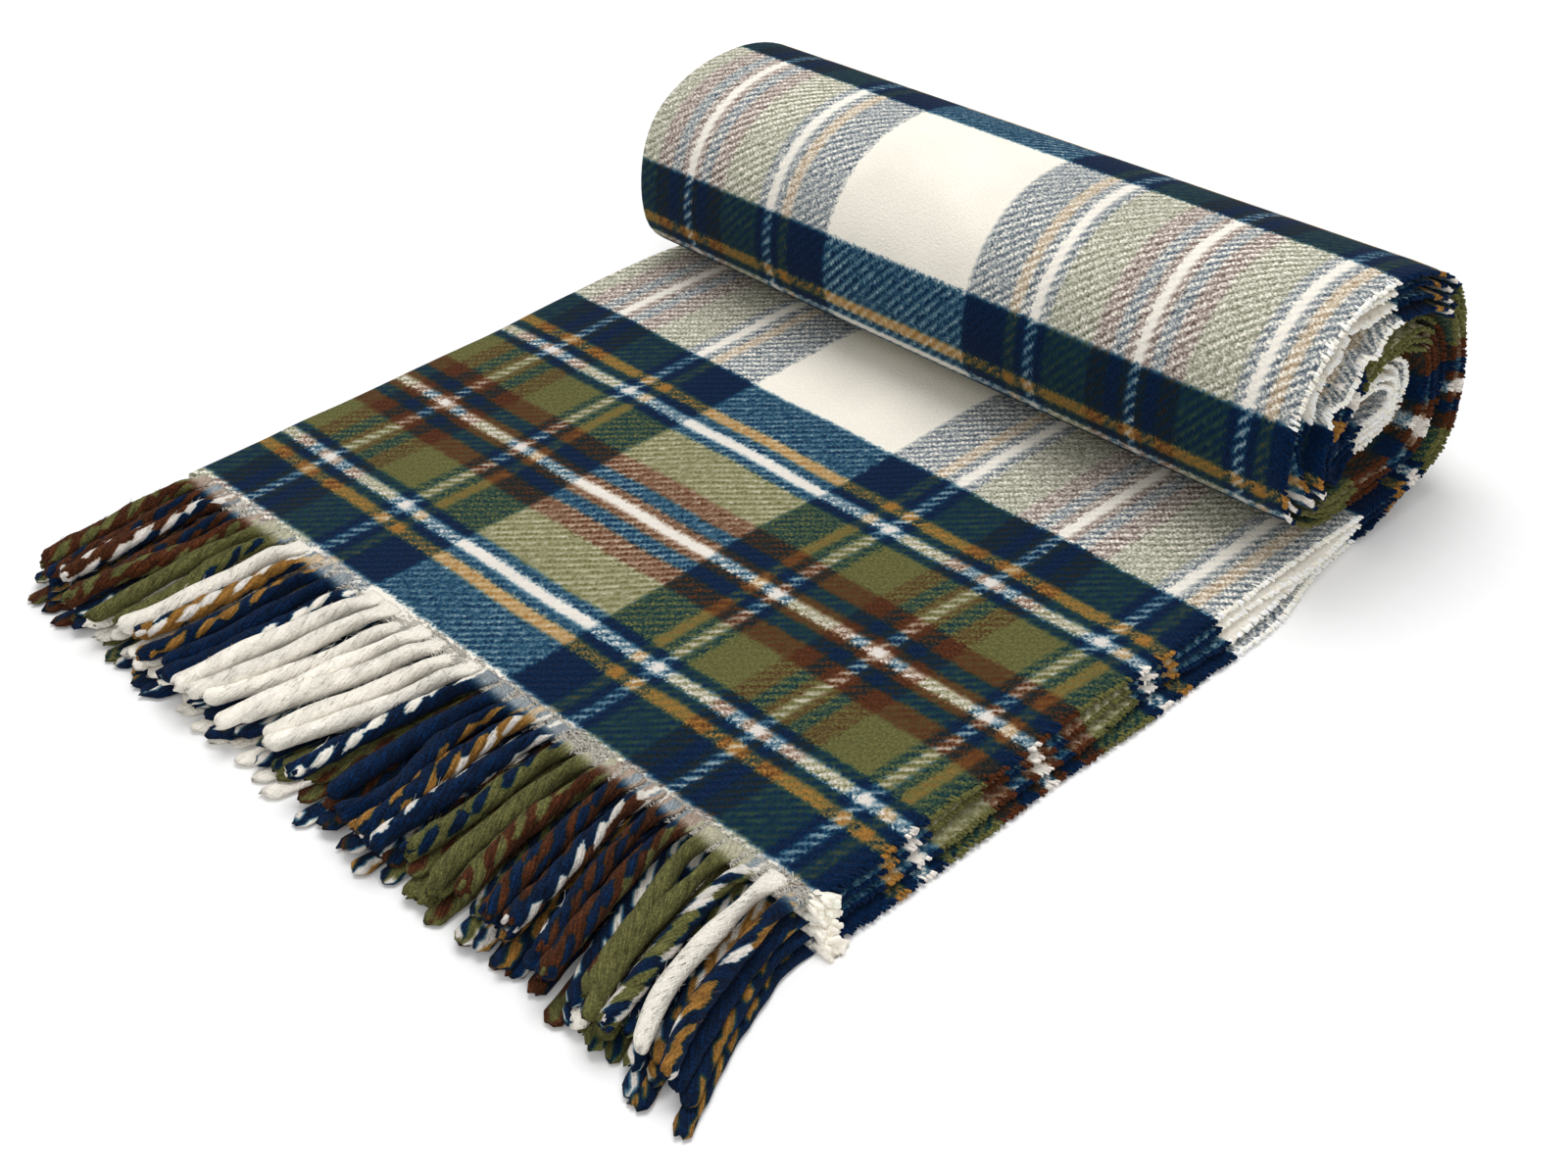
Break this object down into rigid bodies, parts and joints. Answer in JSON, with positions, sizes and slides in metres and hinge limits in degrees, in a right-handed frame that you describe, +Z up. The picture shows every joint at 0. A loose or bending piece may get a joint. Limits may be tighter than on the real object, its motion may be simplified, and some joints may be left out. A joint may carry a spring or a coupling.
{
  "type": "rolled throw blanket",
  "caption": "Tartan wool throw, creased lengthwise, folded end to end and rolled, with a flat front flap and a fringe of plied tassels.",
  "frame": {"origin": "middle of the footprint, on the surface the throw rests on", "axes": "+X along the roll towards its selvedge end, +Y from the fringe towards the roll, +Z up"},
  "size_m": [0.3898, 0.4486, 0.1075],
  "materials": {
    "tartan_cloth": "brushed wool in a two-and-two twill tartan of cream, navy, ochre, white, olive green and brown",
    "lower_fringe": "plied wool tassels in the colours of the warp stripes",
    "cord_cream": "plied cream wool tassel, soft and slightly fuzzy",
    "cord_navy": "plied navy wool tassel, soft and slightly fuzzy",
    "cord_ochre": "plied ochre wool tassel, soft and slightly fuzzy",
    "cord_white": "plied white wool tassel, soft and slightly fuzzy",
    "cord_green": "plied green wool tassel, soft and slightly fuzzy",
    "cord_brown": "plied brown wool tassel, soft and slightly fuzzy"
  },
  "bodies": {
    "roll": {"quarter_1_roll": "tartan_cloth", "quarter_2_roll": "tartan_cloth", "quarter_3_roll": "tartan_cloth", "quarter_4_roll": "tartan_cloth"},
    "flap": {"quarter_1_flap": "tartan_cloth", "quarter_2_flap": "tartan_cloth", "quarter_3_flap": "tartan_cloth", "quarter_4_flap": "tartan_cloth"},
    "lower_fringe": {"fringe_row_2": "lower_fringe", "fringe_row_3": "lower_fringe", "fringe_row_4": "lower_fringe"},
    "top_fringe": {"tassel_01": "cord_brown", "tassel_02": "cord_brown", "tassel_03": "cord_white", "tassel_04": "cord_brown", "tassel_05": "cord_brown", "tassel_06": "cord_green", "tassel_07": "cord_green", "tassel_08": "cord_white", "tassel_09": "cord_ochre", "tassel_10": "cord_navy", "tassel_11": "cord_navy", "tassel_12": "cord_cream", "tassel_13": "cord_cream", "tassel_14": "cord_cream", "tassel_15": "cord_cream", "tassel_16": "cord_cream", "tassel_17": "cord_cream", "tassel_18": "cord_cream", "tassel_19": "cord_cream", "tassel_20": "cord_cream", "tassel_21": "cord_navy", "tassel_22": "cord_navy", "tassel_23": "cord_ochre", "tassel_24": "cord_white", "tassel_25": "cord_green", "tassel_26": "cord_green", "tassel_27": "cord_brown", "tassel_28": "cord_brown", "tassel_29": "cord_white", "tassel_30": "cord_brown", "tassel_31": "cord_brown", "tassel_32": "cord_green", "tassel_33": "cord_green", "tassel_34": "cord_green", "tassel_35": "cord_ochre", "tassel_36": "cord_ochre"}
  },
  "joints": [
    {"name": "flap_lift", "type": "hinge", "parent": "roll", "child": "flap", "pos_m": [-0.03586, 0.12039, 0.01425], "axis": [-1, 0, 0], "range_deg": [0, 45]},
    {"name": "fringe_hang", "type": "hinge", "parent": "flap", "child": "lower_fringe", "pos_m": [-0.03586, -0.14031, 0.00165], "axis": [-1, 0, 0], "range_deg": [-45, 0]},
    {"name": "top_row_lift", "type": "hinge", "parent": "lower_fringe", "child": "top_fringe", "pos_m": [-0.03586, -0.13581, 0.0123], "axis": [-1, 0, 0], "range_deg": [0, 60]}
  ],
  "couplings": [
    {"joint": "fringe_hang", "follows": "flap_lift", "ratio": -1}
  ]
}
